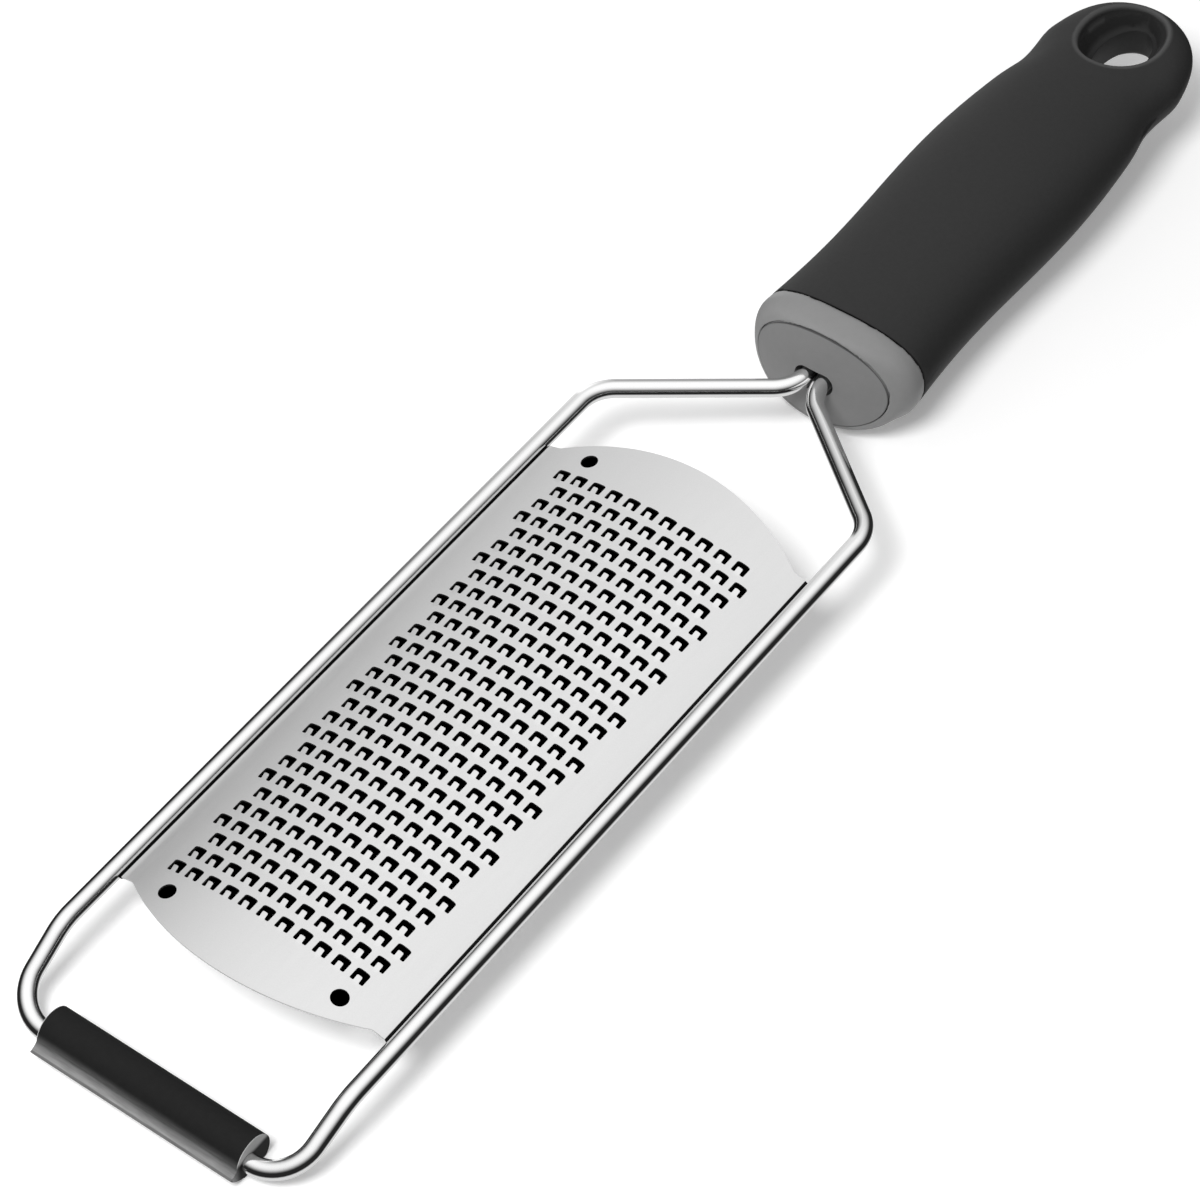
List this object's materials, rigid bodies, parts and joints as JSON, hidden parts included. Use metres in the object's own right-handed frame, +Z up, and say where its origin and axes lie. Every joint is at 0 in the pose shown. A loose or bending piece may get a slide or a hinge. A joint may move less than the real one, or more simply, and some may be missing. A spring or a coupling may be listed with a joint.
{
  "type": "rasp zester",
  "caption": "Hand rasp zester: arched etched steel blade in a bent rod frame, soft foot at the nose, collared soft grip with a dished oval hang hole.",
  "frame": {"origin": "middle of the tool's bounding box at the height of the table it rests on", "axes": "+Y along the tool from the foot to the hang hole, +Z up out of the cutting side, X across the blade"},
  "size_m": [0.0684, 0.3304, 0.0256],
  "materials": {
    "polished_rod": "polished stainless steel rod",
    "satin_blade": "satin etched stainless sheet",
    "foot_rubber": "smooth dark soft extrusion",
    "plug_grey": "satin moulded plastic",
    "collar_grey": "satin moulded plastic",
    "grip_dark": "soft-touch matte overmould"
  },
  "bodies": {
    "root": {"frame_rod": "polished_rod", "blade": "satin_blade", "foot": "foot_rubber", "face_plug": "plug_grey", "handle_core": "collar_grey", "handle_grip": "grip_dark"}
  },
  "joints": []
}
